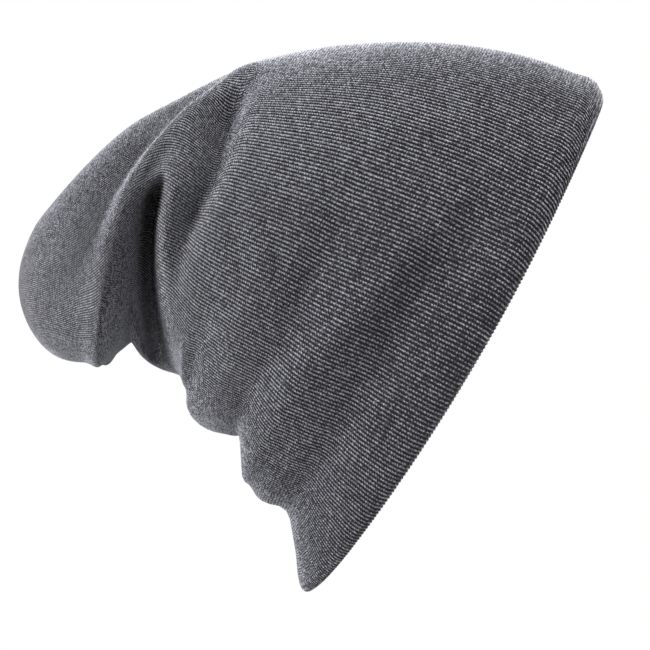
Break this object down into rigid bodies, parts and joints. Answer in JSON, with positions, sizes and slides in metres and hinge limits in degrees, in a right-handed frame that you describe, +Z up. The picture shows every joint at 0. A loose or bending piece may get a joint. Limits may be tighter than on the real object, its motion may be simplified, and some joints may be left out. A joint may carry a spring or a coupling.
{
  "type": "slouch beanie",
  "caption": "Long slouchy beanie of fine ribbed knit, doubled to a soft wall and turned over at the brim, its closed crown falling back in a creased lobe.",
  "frame": {"origin": "middle of the head opening, between the front and the nape of the turned brim", "axes": "+X to the front of the hat, the way the face of a head wearing it looks; +Z up as the hat lies in the picture; +Y to the far side of the picture; the opening's plane is tipped, and its outward direction is +X 0.846, -Z 0.533"},
  "size_m": [0.2208, 0.1675, 0.208],
  "materials": {
    "melange_knit": "soft matt fine rib knit, charcoal grey melange with lighter and darker streaks along the courses"
  },
  "bodies": {
    "root": {"knit_body": "melange_knit"}
  },
  "joints": []
}
